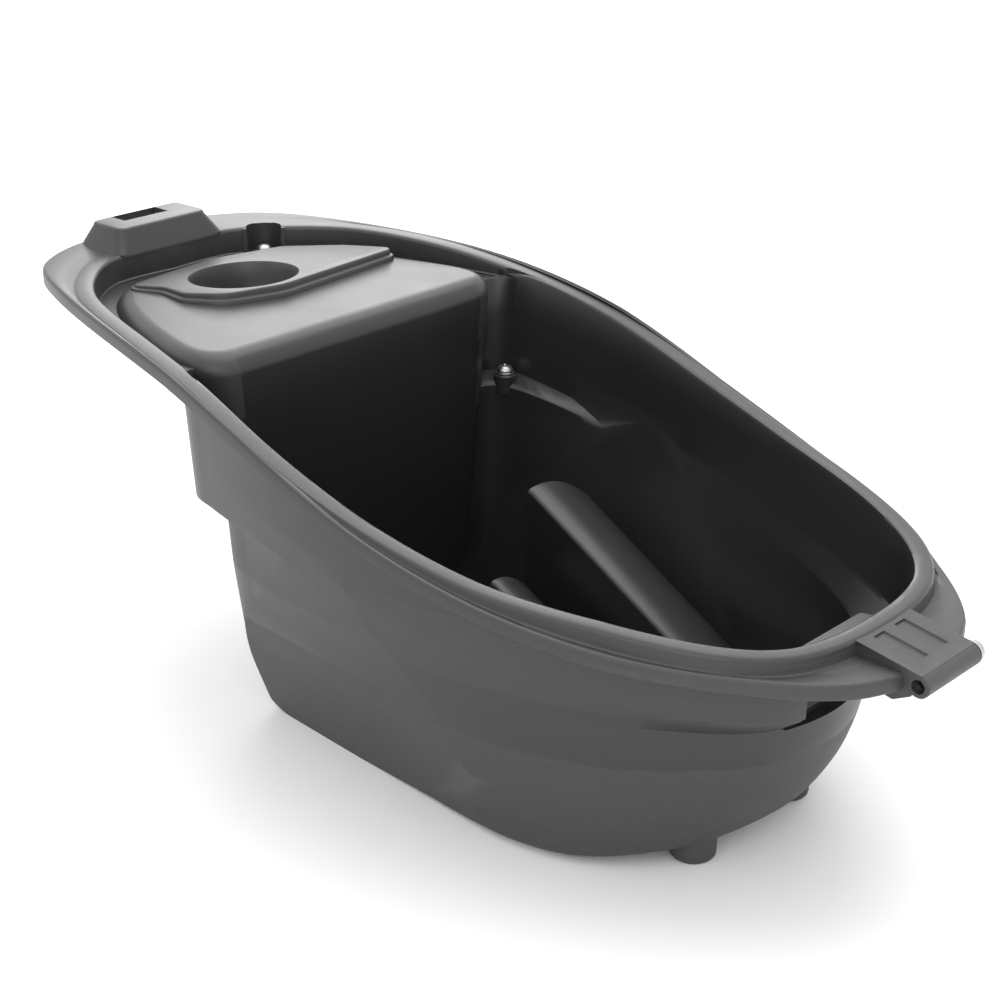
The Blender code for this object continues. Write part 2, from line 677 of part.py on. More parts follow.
# ---- materials ----------------------------------------------------------------------------
def finish(body, colour, roughness, metallic):
    material = bpy.data.materials.new(body.name + "_material")
    material.use_nodes = True
    shader = material.node_tree.nodes["Principled BSDF"]
    shader.inputs["Base Color"].default_value = (*colour, 1)
    shader.inputs["Roughness"].default_value = roughness
    shader.inputs["Metallic"].default_value = metallic
    body.data.materials.clear()
    body.data.materials.append(material)
    body.data.shade_smooth()
    body.data.set_sharp_from_angle(angle=math.radians(35))


PLASTIC = ((0.055, 0.054, 0.056), 0.48, 0.0)
STEEL = ((0.52, 0.52, 0.50), 0.32, 1.0)
RUBBER = ((0.018, 0.018, 0.018), 0.75, 0.0)


def main():
    for item in list(bpy.data.objects):
        bpy.data.objects.remove(item)
    finish(storage_tub(), *PLASTIC)
    finish(hinge_pin(), *STEEL)
    finish(washer("hinge_pin_washer", (along(BARREL_X), BARREL_LENGTH / 2 + TOUCH, BARREL_Z),
                  PIN_DIAMETER / 2 + PIN_PLAY, "Y"), *STEEL)
    names = ("corner_{}_right", "corner_{}_left", "deck_{}")
    lengths = (CORNER_SCREW_LENGTH, CORNER_SCREW_LENGTH, DECK_SCREW_LENGTH)
    for name, (x, y, z), length in zip(names, screw_places(), lengths):
        finish(screw(name.format("screw"), (x, y, z), length), *STEEL)
        ring = washer(name.format("washer"), (x, y, z + TOUCH), SCREW_SHANK / 2 + SCREW_PLAY)
        finish(ring, *STEEL)
    finish(drain_plug(), *RUBBER)


main()
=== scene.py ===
"""Scooter under-seat storage bucket: the moulding, its fittings and a plain studio around them.

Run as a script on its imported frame. The stations of the moulding are in millimetres; meshes and
the sizes in the panel are in metres. +X points to the hinge end, +Y to the left, +Z up.
"""
import math

import bmesh
import bpy
from mathutils import Matrix, Vector


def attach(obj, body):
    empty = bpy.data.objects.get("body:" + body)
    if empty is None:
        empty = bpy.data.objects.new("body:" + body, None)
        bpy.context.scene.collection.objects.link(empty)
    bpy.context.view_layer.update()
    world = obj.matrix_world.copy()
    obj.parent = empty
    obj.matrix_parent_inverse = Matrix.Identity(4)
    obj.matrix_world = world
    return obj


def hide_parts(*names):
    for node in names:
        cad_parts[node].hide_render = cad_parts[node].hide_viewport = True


bl_info = {
    "name": "Scooter storage bucket",
    "version": (1, 0, 0),
    "blender": (4, 5, 0),
    "location": "View3D > Sidebar > Bucket",
    "description": "Builds a moulded under-seat storage bucket, its fittings and a studio",
    "category": "Object",
}

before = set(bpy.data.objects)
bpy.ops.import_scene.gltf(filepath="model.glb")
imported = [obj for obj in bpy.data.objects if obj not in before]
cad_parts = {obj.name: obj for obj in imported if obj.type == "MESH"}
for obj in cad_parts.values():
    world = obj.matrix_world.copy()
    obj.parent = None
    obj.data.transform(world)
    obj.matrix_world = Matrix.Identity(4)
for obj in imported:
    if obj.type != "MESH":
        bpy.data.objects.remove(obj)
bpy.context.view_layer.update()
MM = 0.001
FAR = 400.0                    # beyond the object on every side
TUB, PIN, PLUG = "tub", "pin", "plug"

# ---- stations of the moulding: (x, half width, height), tail to nose -------------------------
FLANGE_EDGE = [(-327, 0, 246), (-322.5, 47, 246), (-300, 88, 246), (-262, 110, 246),
               (-175, 137, 243), (-98, 152, 235), (-23, 162, 217), (57, 162, 188),
               (137, 150, 166), (206, 127, 154), (259, 92, 147), (301, 50, 143), (313, 0, 142)]
MOUTH_EDGE = [(-279, 0, 245), (-279, 47, 245), (-256, 79, 245), (-218, 107, 245),
              (-150, 127, 241), (-84, 138, 231), (-23, 147, 215), (51, 146, 191),
              (127, 134, 172), (189, 113, 164), (240, 86, 157), (264, 55, 153), (272, 0, 152)]
WALL_TOP = [(-113, 0, 227), (-113, 60, 227), (-113, 108, 227), (-112, 127, 228),
            (-104, 136, 230), (-86, 141, 231), (-23, 150, 215), (51, 149, 191),
            (128, 137, 172), (191, 116, 164), (242, 88, 157), (267, 57, 153), (275, 0, 152)]
WALL_STEP = [(-113, 0, 153), (-113, 60, 153), (-113, 106, 153), (-111, 123, 153),
             (-103, 131, 153), (-86, 136, 153), (-20, 146, 148), (51, 145, 140),
             (128, 133, 126), (190, 112, 118), (240, 87, 114), (265, 57, 110), (272, 0, 109)]
WALL_WAIST = [(-101, 0, 150), (-101, 60, 150), (-101, 100, 150), (-98, 113, 150),
              (-89, 120, 150), (-70, 126, 150), (-18, 141, 142), (52, 141, 126),
              (127, 130, 109), (184, 108, 102), (221, 80, 98), (246, 47, 94), (257, 0, 93)]
WALL_BELLY = [(-101, 0, 66), (-101, 55, 66), (-100, 94, 66), (-96, 106, 66),
              (-86, 112, 66), (-66, 117, 66), (-12, 123, 64), (54, 124, 60),
              (125, 121, 60), (180, 104, 62), (217, 77, 66), (243, 46, 68), (254, 0, 68)]
WALL_KEEL = [(-98, 0, 16), (-98, 52, 16), (-97, 85, 16), (-93, 96, 16),
             (-84, 101, 16), (-62, 104, 16), (-8, 106, 16), (56, 108, 16),
             (118, 109, 16), (167, 98, 18), (201, 74, 22), (224, 45, 27), (236, 0, 30)]
WALL_FOOT = [(-90, 0, 0), (-90, 48, 0), (-89, 77, 0), (-85, 86, 0),
             (-76, 91, 0), (-58, 94, 0), (-6, 96, 0), (56, 98, 0),
             (114, 101, 0), (158, 91, 2), (188, 68, 7), (205, 44, 12), (212, 0, 14)]
COVER = [(-262, 0, 0), (-262, 42, 0), (-249, 71, 0), (-214, 95, 0), (-160, 115, 0),
         (-124, 123, 0), (-106, 120, 0), (-95, 109, 0), (-93, 91, 0), (-93, 40, 0), (-93, 0, 0)]
PAD = [(-242, -64, 5), (-220, -55, 12), (-196, -58, 12), (-172, -45, 24), (-160, -8, 30),
       (-171, 100, 6), (-206, 87, 10), (-240, 62, 12), (-254, 10, 12)]
HUMPS = [("ridge", (-2, 74, 122), (190, 10), 29), ("low_hump", (9, 14, 84), (150, 10), 15)]
FACET = [(-97, -109, 64), (50, -101, 0), (-89, -89, 0)]

# ---- places and heights, in millimetres ------------------------------------------------------
DECK_TOP = 235.0               # flat top of the tank cover
GUTTER_FLOOR = 227.0           # channel between the rim and the tank cover
COVER_DRAFT = 4.5              # how far the cover's front leans back at its foot
COVER_TAPER = 0.0007           # share of its width that the cover loses per mm downwards
HUMP_TILT = 0.38               # fall of each rise towards the left, per unit of width
HUMP_ARCH = 0.14               # height of its arched back, per unit of width
HUMP_ROUND = 3.0               # round along its long edges
HUMP_END = 8.0                 # height at which a rise runs out
HUMP_STEPS = 40
NOTCH_HALF = 48.0              # recess in the front wall, under the flange
NOTCH_DEPTH = 26.0
NOTCH_FLOOR = 92.0
NOTCH_TOP = 127.0
NOTCH_DRAFT = 10               # each side of the recess leans in by this at its back
FILLER = (-202, -6, DECK_TOP)
DECK_SCREW = (-267, 69)
CORNER_SEATS = [(-91, -122, 167), (-91, 122, 167)]
DECK_SEATS = [DECK_SCREW + (227,)]
DRAIN = (166, -73, 0)
HINGE_X = 319.0                # axis of the hinge, along Y
HINGE_Z = 138.0
BARREL_HALF = 25               # half the barrel's length
BARREL_LENGTH = 2 * BARREL_HALF
PIN_BORE = 3.9                 # radius of the pin's bore in the barrel and in the washer
TONGUE_TOP = 151.3             # top of the tongue at its root, then at the barrel
TONGUE_TIP = 144.4


# ---- sizes and finishes that a user may change ------------------------------------------------
def metres(default, name, description, low=0.0, high=1.0):
    return bpy.props.FloatProperty(name=name, description=description, default=default, min=low,
                                   max=high, unit="LENGTH", precision=4)


def colour(default, name, description):
    return bpy.props.FloatVectorProperty(name=name, description=description, default=default,
                                         size=3, min=0.0, max=1.0, subtype="COLOR")


def factor(default, name, description, high=1.0):
    return bpy.props.FloatProperty(name=name, description=description, default=default, min=0.0,
                                   max=high, subtype="FACTOR")


class BucketShape(bpy.types.PropertyGroup):
    """Sizes of the moulding's small features."""
    columns: bpy.props.IntProperty(
        name="Columns", description="Steps between two stations of an outline", default=8,
        min=2, max=16)
    rows: bpy.props.IntProperty(
        name="Rows", description="Steps between two levels of the wall", default=5, min=1, max=10)
    wall: metres(0.003, "Wall", "Thickness of the moulding", 0.001, 0.006)
    rim_width: metres(0.012, "Rim width", "Width of the raised bead around the mouth")
    skirt: metres(0.009, "Skirt", "Height of the flange's edge")
    bead_round: metres(0.003, "Bead round", "Radius on the outer edge of the bead")
    mouth_round: metres(0.0025, "Mouth round", "Radius on the edge of the mouth")
    bullnose: metres(0.013, "Bullnose", "Radius along the top edge of the tank cover")
    filler_bore: metres(0.067, "Filler opening", "Diameter of the round opening in the deck")
    tongue_width: metres(0.050, "Tongue width", "Width of the hinge tongue")
    barrel_radius: metres(0.0065, "Barrel radius", "Outer radius of the hinge barrel")
    peg_diameter: metres(0.026, "Peg diameter", "Diameter of the two pegs under the nose")


class BucketFinish(bpy.types.PropertyGroup):
    """Colours and surface of the materials."""
    outside: colour((0.027, 0.025, 0.026), "Outside", "Plastic of the tub's outer wall")
    # The inside colour is the same plastic at about half the outside's tone: painted shade for the
    # faces of the cavity.
    inside: colour((0.0135, 0.0130, 0.0140), "Inside", "Plastic inside the tub and on the deck")
    steel: colour((0.56, 0.55, 0.52), "Steel", "Screws, washers and pin")
    rubber: colour((0.012, 0.012, 0.012), "Rubber", "Drain plug")
    grain: factor(0.55, "Grain", "Depth of the moulded grain")
    wear: factor(0.35, "Wear", "How far the edges are rubbed pale")
    dust: factor(0.12, "Dust", "Dust on upward faces")


class BucketStage(bpy.types.PropertyGroup):
    """Camera and studio."""
    focal: bpy.props.FloatProperty(name="Focal length", description="Lens in millimetres",
                                   default=72.0, min=10.0, max=300.0, unit="CAMERA")
    azimuth: bpy.props.FloatProperty(name="Azimuth", description="Turn around the object",
                                     default=math.radians(42.68), subtype="ANGLE")
    pitch: bpy.props.FloatProperty(name="Pitch", description="Height over the horizon",
                                   default=math.radians(22.78), subtype="ANGLE")
    distance: metres(1.185, "Distance", "From the camera to the point it looks at", 0.1, 10.0)
    aim_height: metres(0.144, "Aim height", "Height of the point that the camera looks at")
    aim_forward: metres(0.017, "Aim forward", "Place of that point along X", -1.0)
    floor: colour((0.93, 0.93, 0.93), "Floor", "Pale studio floor")


# ---- outlines --------------------------------------------------------------------------------
def spline(points, t):
    """A point of a centripetal Catmull-Rom curve between the middle two of four points."""
    points = [Vector(p) for p in points]
    knots = [0.0]
    for a, b in zip(points, points[1:]):
        knots.append(knots[-1] + max((b - a).length, 1e-6) ** 0.5)
    u = knots[1] + t * (knots[2] - knots[1])
    for level in range(1, 4):
        points = [points[i].lerp(points[i + 1], (u - knots[i]) / (knots[i + level] - knots[i]))
                  for i in range(len(points) - 1)]
    return points[0]


def around(stations, steps):
    """Closed ring through half an outline and its mirror image."""
    half = [Vector((x, -y, z)) for x, y, z in stations]
    flip = Matrix.Diagonal((1, -1, 1))
    full = [flip @ half[1]] + half + [flip @ half[-2]]
    side = []
    for i in range(1, len(full) - 2):
        side += [spline(full[i - 1:i + 3], s / steps) for s in range(steps)]
    side.append(half[-1].copy())
    return side + [flip @ p for p in reversed(side[1:-1])]


def normals(ring):
    result = []
    for i in range(len(ring)):
        tangent = ring[(i + 1) % len(ring)] - ring[i - 1]
        result.append(Vector((tangent.y, -tangent.x, 0)).normalized())
    return result


def moved(ring, outwards=0.0, up=0.0):
    """The ring shifted sideways along its own normals in plan, and up."""
    return [p + n * outwards + Vector((0, 0, up)) for p, n in zip(ring, normals(ring))]


def levelled(ring, z):
    return [Vector((p.x, p.y, z)) for p in ring]


def between(lower, upper, share):
    return [a.lerp(b, share) for a, b in zip(lower, upper)]


def smooth_levels(levels, rows):
    """Rings on a smooth curve up every column of the levels."""
    padded = [levels[0]] + levels + [levels[-1]]
    rings = []
    for i in range(1, len(padded) - 2):
        for r in range(rows):
            four = zip(*padded[i - 1:i + 3])
            rings.append([spline(points, r / rows) for points in four])
    return rings + [levels[-1]]


def rounded(corners, steps=3):
    """Closed plan outline of straight runs and corner arcs from (x, y, radius)."""
    outline = []
    for i, (x, y, radius) in enumerate(corners):
        here = Vector((x, y))
        back = (Vector(corners[i - 1][:2]) - here).normalized()
        ahead = (Vector(corners[(i + 1) % len(corners)][:2]) - here).normalized()
        half_angle = back.angle(ahead) / 2
        reach = radius / math.tan(half_angle)
        centre = here + (back + ahead).normalized() * radius / math.sin(half_angle)
        start = here + back * reach - centre
        sweep = math.pi - 2 * half_angle
        if back.cross(ahead) > 0:
            sweep = -sweep
        for s in range(steps + 1):
            turned = Matrix.Rotation(sweep * s / steps, 2) @ start
            outline.append(Vector((*(centre + turned), 0)))
    return outline


def arc(centre, radius, start, end, steps):
    """(across, up) points of a quarter or part circle, angles in degrees."""
    points = []
    for s in range(steps + 1):
        angle = math.radians(start + (end - start) * s / steps)
        points.append((centre[0] + radius * math.cos(angle), centre[1] + radius * math.sin(angle)))
    return points


# ---- mesh tools ------------------------------------------------------------------------------
def linked(name, shell):
    mesh = bpy.data.meshes.new(name)
    shell.to_mesh(mesh)
    shell.free()
    body = bpy.data.objects.new(name, mesh)
    bpy.context.scene.collection.objects.link(body)
    return body


def solid(name, rings, closed=False):
    """Closed body through rings that run upwards; closed joins the last ring to the first."""
    shell = bmesh.new()
    rows = [[shell.verts.new(p * MM) for p in ring] for ring in rings]
    count = len(rows[0])
    pairs = list(zip(rows, rows[1:])) + ([(rows[-1], rows[0])] if closed else [])
    for low, high in pairs:
        for i in range(count):
            j = (i + 1) % count
            shell.faces.new((low[i], low[j], high[j], high[i]))
    if not closed:
        shell.faces.new(reversed(rows[0]))
        shell.faces.new(rows[-1])
    bmesh.ops.recalc_face_normals(shell, faces=shell.faces)
    return linked(name, shell)


def block(name, low, high):
    corners = [(low[0], low[1]), (high[0], low[1]), (high[0], high[1]), (low[0], high[1])]
    return solid(name, [[Vector((x, y, z)) for x, y in corners] for z in (low[2], high[2])])


def spin(profile, place, axis, segments):
    """Rings of a turned body: profile is (radius, height) along the axis, from place."""
    turn = {"Z": Matrix.Identity(3), "Y": Matrix.Rotation(-math.pi / 2, 3, "X")}[axis]
    angles = [2 * math.pi * s / segments for s in range(segments)]
    return [[turn @ Vector((radius * math.cos(a), radius * math.sin(a), height)) + Vector(place)
             for a in angles] for radius, height in profile]


def turned(name, profile, place, axis="Z", segments=64):
    return solid(name, spin(profile, place, axis, segments))


def hollow_turned(name, profile, place, axis="Z", segments=48):
    return solid(name, spin(profile, place, axis, segments), closed=True)


def combine(body, tool, operation, solver="MANIFOLD"):
    """Boolean of body and tool, kept on body; the tool is used up."""
    step = body.modifiers.new(operation.lower(), "BOOLEAN")
    step.operation = operation
    step.object = tool
    step.solver = solver
    bpy.context.view_layer.update()
    graph = bpy.context.evaluated_depsgraph_get()
    result = bpy.data.meshes.new_from_object(body.evaluated_get(graph))
    body.modifiers.clear()
    body.data = result
    if not result.polygons:
        raise RuntimeError(f"{tool.name} leaves nothing of {body.name}")
    bpy.data.objects.remove(tool)


def add(body, tool):
    combine(body, tool, "UNION")


def cut(body, tool):
    combine(body, tool, "DIFFERENCE")


def shade(body, angle=32.0):
    body.data.shade_smooth()
    body.data.set_sharp_from_angle(angle=math.radians(angle))


def finish_piece(body, material, body_name, slot, *nodes):
    """Material, frame body, material slot (not used) and the CAD nodes that the piece stands for."""
    if material:
        body.data.materials.clear()
        body.data.materials.append(material)
    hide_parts(*nodes)
    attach(body, body_name)


# ---- the moulding ----------------------------------------------------------------------------
class Moulding:
    """Builds the tub from the stations, with the sizes of the panel turned into millimetres."""

    def __init__(self, shape):
        self.steps = shape.columns
        self.rows = shape.rows
        self.wall = shape.wall / MM
        self.rim_width = shape.rim_width / MM
        self.skirt = shape.skirt / MM
        self.bead_round = shape.bead_round / MM
        self.mouth_round = shape.mouth_round / MM
        self.bullnose = shape.bullnose / MM
        self.filler_bore = shape.filler_bore / MM
        self.tongue_width = shape.tongue_width / MM
        self.barrel_radius = shape.barrel_radius / MM
        self.peg_diameter = shape.peg_diameter / MM
        self.deck_top = DECK_TOP
        self.gutter_floor = GUTTER_FLOOR

    def ring(self, stations):
        return around(stations, self.steps)

    def rim_sheet(self):
        """Flange, raised bead and the gutter's floor inside it, as one closed band."""
        edge = self.ring(FLANGE_EDGE)
        mouth = self.ring(MOUTH_EDGE)
        out = normals(mouth)
        foot = [Vector((f.x, f.y, min(e.z + 0.3, m.z - 0.4)))
                for f, e, m in zip(moved(mouth, self.rim_width), edge, mouth)]
        rings = [moved(edge, -self.wall, -self.skirt), moved(edge, -0.6, -self.skirt),
                 moved(edge, 0.3, -self.skirt + 0.9), moved(edge, 0.3, -3.0)]
        rings += [moved(edge, x, z) for x, z in arc((-1.7, -1.9), 1.9, 0, 90, 5)]
        rings.append([e.lerp(f, 0.5) for e, f in zip(moved(edge, -3.0), foot)])
        rings.append(moved(foot, 1.6))
        # bead: a small hollow at its foot, an upright flank and a round shoulder
        high = [max(0.3, m.z - f.z) for m, f in zip(mouth, foot)]
        for across, share in ((0.5, 0.07), (0.0, 0.20)):
            rings.append([f + n * across + Vector((0, 0, h * share))
                          for f, n, h in zip(foot, out, high)])
        for angle in (0, 22, 45, 68, 90):
            turn = math.radians(angle)
            row = []
            for m, n, h in zip(mouth, out, high):
                radius = min(self.bead_round, h * 0.6)
                across = self.rim_width - 0.4 - radius * (1 - math.cos(turn))
                row.append(m + n * across + Vector((0, 0, -radius * (1 - math.sin(turn)))))
            rings.append(row)
        crown = self.rim_width * 0.45
        rings.append(moved(mouth, crown, 0.35))
        radius = self.mouth_round
        rings += [moved(mouth, x, z) for x, z in arc((radius, -radius), radius, 90, 180, 5)]
        floor = [min(self.gutter_floor, m.z - 8) for m in mouth]
        gutter = [Vector((p.x, p.y, z)) for p, z in zip(moved(mouth, -1.0), floor)]
        ease = [p + Vector((0, 0, 1.5)) for p in moved(gutter, 0.8)]
        reach = [Vector((p.x, p.y, z)) for p, z in zip(moved(mouth, -24.0), floor)]
        short = [Vector((p.x, p.y, z)) for p, z in zip(moved(mouth, -8.0), floor)]
        inner = [long if long.x < WALL_WAIST[0][0] else near for long, near in zip(reach, short)]
        rings += [ease, moved(gutter, -0.8), inner, moved(inner, 0, -self.wall),
                  moved(gutter, self.wall, -self.wall), moved(foot, -2, -self.wall),
                  moved(edge, -self.wall, -self.wall - 1)]
        return solid("rim_sheet", list(reversed(rings)), closed=True)

    def wall_rings(self, outwards):
        """Levels of the wall from the floor to the waist, then the step and the top."""
        rise = -outwards
        foot = [Vector((p.x, p.y, max(p.z, 0.0))) for p in self.ring(WALL_FOOT)]
        foot = moved(foot, outwards, rise)
        keel = moved(self.ring(WALL_KEEL), outwards, rise * 0.4)
        belly = moved(self.ring(WALL_BELLY), outwards)
        waist = moved(self.ring(WALL_WAIST), outwards)
        step = moved(self.ring(WALL_STEP), outwards)
        top = moved(self.ring(WALL_TOP), outwards)
        turn = moved(between(foot, keel, 0.5), 2.6, -2.2)
        swell = moved(between(keel, belly, 0.5), 2.2)
        chest = moved(between(belly, waist, 0.5), 1.2)
        lower = smooth_levels([foot, turn, keel, swell, belly, chest, waist], self.rows)
        return lower, step, top

    def tub_outside(self):
        lower, step, top = self.wall_rings(0.0)
        lip = moved(between(lower[-1], step, 0.75), 0.0, -0.5)
        neck = [between(step, top, share) for share in (0.04, 0.3, 0.6)]
        return solid("tub_outside", lower + [lip, step] + neck + [moved(top, 0, -1.0)])

    def tub_inside(self):
        """The space inside the tub, with ledges in the rear corners and a rounded mouth."""
        lower, step, top = self.wall_rings(-self.wall)
        lift = 12.0
        waist = [p + Vector((0, 0, lift * ledge_share(p))) for p in lower[-1]]
        step = [p + Vector((0, 0, lift * ledge_share(p))) for p in step]
        below = moved(between(lower[-2], waist, 0.85), 0)
        below = [Vector((w.x, w.y, b.z)) for w, b in zip(waist, below)]
        ledge = [between(waist, step, share) for share in (0.12, 0.88)]
        rise = [between(step, top, share) for share in (0.05, 0.3, 0.6)]
        levels = lower[:-1] + [below] + ledge + [step] + rise
        radius = self.mouth_round
        levels += [moved(top, 0, -radius), moved(top, 0.3 * radius, -0.3 * radius),
                   moved(top, radius, 0.05), moved(top, radius, 40)]
        return solid("tub_inside", levels)

    def side_facet(self, inset):
        """Cutters for the flats on the lower sides, one for each side."""
        tools = []
        for side in (1, -1):
            rear, front, foot = [Vector((x, y * side, z)) for x, y, z in FACET]
            crease = (front - rear).normalized()
            normal = crease.cross(foot - rear).normalized()
            if normal.y * side > 0:
                normal.negate()
            fall = normal.cross(crease)
            base = (rear + front) / 2 - normal * inset
            near = [base + (crease * a + fall * b) * FAR / 2
                    for a, b in ((-1, -1), (1, -1), (1, 1), (-1, 1))]
            tools.append(solid("facet", [near, [p + normal * FAR / 5 for p in near]]))
        return tools

    def front_notch(self, grow):
        """Recess under the flange in the front wall, scalloped at its lower edge."""
        depth = NOTCH_DEPTH + grow
        half = NOTCH_HALF + grow
        front = WALL_STEP[-1][0]
        plan = rounded([(front - depth, -half + NOTCH_DRAFT, 5 - grow),
                        (front - 3, -half + 3, 3 + grow),
                        (front + 30, -half, 1), (front + 30, half, 1),
                        (front - 3, half - 3, 3 + grow),
                        (front - depth, half - NOTCH_DRAFT, 5 - grow)], 4)
        floor = NOTCH_FLOOR - grow
        rings = []
        for rise, inwards in ((0, 4.0), (1.2, 1.4), (4, 0)):
            rings.append([Vector((p.x + inwards * 0.6, p.y * (1 - inwards / half), floor + rise))
                          for p in plan])
        rings.append(levelled(plan, NOTCH_TOP + grow))
        return solid("front_notch", rings)

    def cover_solid(self, inset, bottom):
        """The tank cover as a filled shape with a rounded top edge."""
        top = self.deck_top - inset
        radius = self.bullnose - inset
        plan = moved(self.ring(COVER), -inset)
        taper = 1 - COVER_TAPER * (top - bottom)
        low = [Vector((p.x - (COVER_DRAFT if p.x > -119 else 0), p.y * taper, p.z))
               for p in plan]
        rings = [levelled(low, bottom)]
        for share in (0.3, 0.6, 0.85):
            height = bottom + (top - radius - bottom) * share
            rings.append(levelled(between(low, plan, share), height))
        for across, up in arc((-radius, top - radius), radius, 0, 90, 10):
            rings.append(levelled(moved(plan, across), up))
        return solid("cover", rings)

    def pad_rise(self, x):
        rear, front = PAD[-1][0], PAD[4][0]
        return 2.2 + 5.8 * (x - rear) / (front - rear)

    def pad_solid(self):
        """The raised pad, with a step that runs all around it and rounded edges."""
        plan = rounded(PAD, 8)
        rings = [levelled(moved(plan, 3.9), self.deck_top - 2)]
        profile = [(3.3, 0.0), (3.0, 0.30), (2.7, 0.38), (2.1, 0.43), (1.0, 0.46), (0.75, 0.50),
                   (0.55, 0.80), (0.3, 0.90), (-0.2, 0.97), (-1.0, 1.0)]
        for outwards, share in profile:
            rings.append([Vector((p.x, p.y, self.deck_top + share * self.pad_rise(p.x)))
                          for p in moved(plan, outwards)])
        return solid("pad", rings)

    def latch_block(self, inset):
        """Drafted block with rounded corners; inset gives the hollow inside it."""
        half, rear, front = 44.0 - inset, -324.0 + inset, -279.0 - inset
        lean, radius, foot = 7.5, 6.0 - inset, 243.0
        bottom = rounded([(rear, -half, radius), (front, -half, radius),
                          (front, half, radius), (rear, half, radius)], 6)
        top = rounded([(rear + lean * 0.6, -half + lean, radius),
                       (front - lean, -half + lean, radius), (front - lean, half - lean, radius),
                       (rear + lean * 0.6, half - lean, radius)], 6)
        height = 260.0 - inset
        if inset:
            return solid("block_hollow", [levelled(bottom, foot - 30), levelled(bottom, foot + 1),
                                          levelled(top, height)])
        rings = [levelled(bottom, foot), levelled(bottom, foot + 2)]
        for across, up in arc((-2.2, height - 2.2), 2.2, 0, 90, 5):
            rings.append(levelled(moved(top, across), up))
        return solid("latch_block", rings)

    def tongue_solids(self):
        """Hinge tongue: a sloping plate with rounded edges and two webs; add_tongue adds the barrel.
        """
        half = self.tongue_width / 2
        root, tip, low, high = 279.0, HINGE_X, TONGUE_TOP, HINGE_Z
        plate = [(root - 3, low - 9), (root + 13, low - 9.5), (tip - 10.5, 140.3), (tip, high + 1),
                 (tip + 2, TONGUE_TIP), (root + 1, low), (root - 3, low - 1)]
        web = [(root - 2, low - 19), (root + 26, high - 12), (tip - 4, high - 7), (tip + 1, high),
               (tip, high + 5), (root + 3, low - 4)]
        bodies = []
        for name, outline, start, end in (("plate", plate, -half, half),
                                          ("near_web", web, -half + 0.4, -half + 5),
                                          ("far_web", web, half - 5, half - 0.4)):
            bodies.append(solid(name, [[Vector((x, y, z)) for x, z in outline]
                                       for y in (start, end)]))
        return bodies

    def tongue_grooves(self):
        """Two shallow grooves along the top of the tongue, as cutters."""
        tools = []
        for middle in (-9.5, 9.5):
            rings = []
            for x in (285.5, 312.0):
                top = TONGUE_TOP + (TONGUE_TIP - TONGUE_TOP) * (x - 280.0) / 41.0
                rings.append([Vector((x, middle + across, top + up))
                              for across, up in ((-5.2, 0.6), (-4.2, -1.1), (4.2, -1.1), (5.2, 0.6))])
            tools.append(solid("groove", rings))
        return tools

    def column(self, inset):
        """What lies inside the wall, carried on down below the floor."""
        lower, step, top = self.wall_rings(-inset)
        levels = lower + [step, top]
        body = solid("column", [levelled(levels[0], -FAR / 4)] + levels)
        for tool in self.side_facet(inset):
            cut(body, tool)
        return body

    def hump(self, name, place, end, half_width, inset=0.0):
        """Rise in the floor with an arched, tilted back, sloping down to the front."""
        x, y, top = place
        end_x, end_top = end
        half = half_width - inset
        slope = (end_top - top) / (end_x - x)
        stop = x + (HUMP_END - top) / slope
        soft = 0.0 if inset else HUMP_ROUND
        stations = [(x + inset, soft), (x + inset + soft * 0.3, soft * 0.3)]
        if inset:
            stations = [(x + inset, 0.0)]
        rings = []
        for station, drop in stations + [(x + inset + soft + 0.1, 0.0), (stop, 0.0)]:
            middle = top - inset + slope * (station - x) - drop
            low = middle - FAR / 2
            ring = [Vector((station, y + side * half, low)) for side in (-1, 1)]
            for step in range(HUMP_STEPS + 1):
                share = math.cos(math.pi * step / HUMP_STEPS)
                edge = max(0.0, HUMP_ROUND - half * (1 - abs(share)))
                round_off = HUMP_ROUND - math.sqrt(max(0.0, HUMP_ROUND ** 2 - edge ** 2))
                rise = 2 * half * (HUMP_ARCH * (1 - share ** 2) - HUMP_TILT * share / 2)
                ring.append(Vector((station, y + share * half, middle + rise - round_off)))
            rings.append(ring)
        body = solid(name, rings)
        floor = -FAR / 8 if inset else self.wall / 2
        cut(body, block("under_hump", (-FAR, -FAR, -FAR), (FAR, FAR, floor)))
        combine(body, self.column(self.wall if inset else self.wall / 2), "INTERSECT")
        return body

    def gutter_space(self):
        """The room above the channel's floor, inside the mouth."""
        plan = moved(self.ring(MOUTH_EDGE), -1.0)
        return solid("gutter_space", [levelled(plan, self.gutter_floor), levelled(plan, 265.0)])

    def build(self):
        outside = self.tub_outside()
        for tool in self.side_facet(0.0):
            cut(outside, tool)
        cut(outside, self.front_notch(0.0))
        inside = self.tub_inside()
        for tool in self.side_facet(self.wall):
            cut(inside, tool)
        cut(inside, self.front_notch(self.wall))
        tub = self.rim_sheet()
        add(tub, turned("pocket_wall", [(14.5, 224.4), (14.5, 244.4)], DECK_SCREW + (0,)))
        cut(tub, self.gutter_space())
        add(tub, outside)
        self.add_pegs(tub)
        cut(tub, inside)
        self.add_deck(tub)
        self.add_tongue(tub)
        for name, place, end, half_width in HUMPS:
            add(tub, self.hump(name, place, end, half_width))
            cut(tub, self.hump(name + "_hollow", place, end, half_width, self.wall))
        self.add_bosses(tub)
        return tub

    def add_pegs(self, tub):
        radius = self.peg_diameter / 2
        peg = [(radius - 3.5, 0), (radius - 1.4, 0.5), (radius - 0.3, 1.8), (radius, 3.2),
               (radius + 0.6, 32)]
        for side in (-1, 1):
            add(tub, turned("peg", peg, (201, side * 44, 0)))

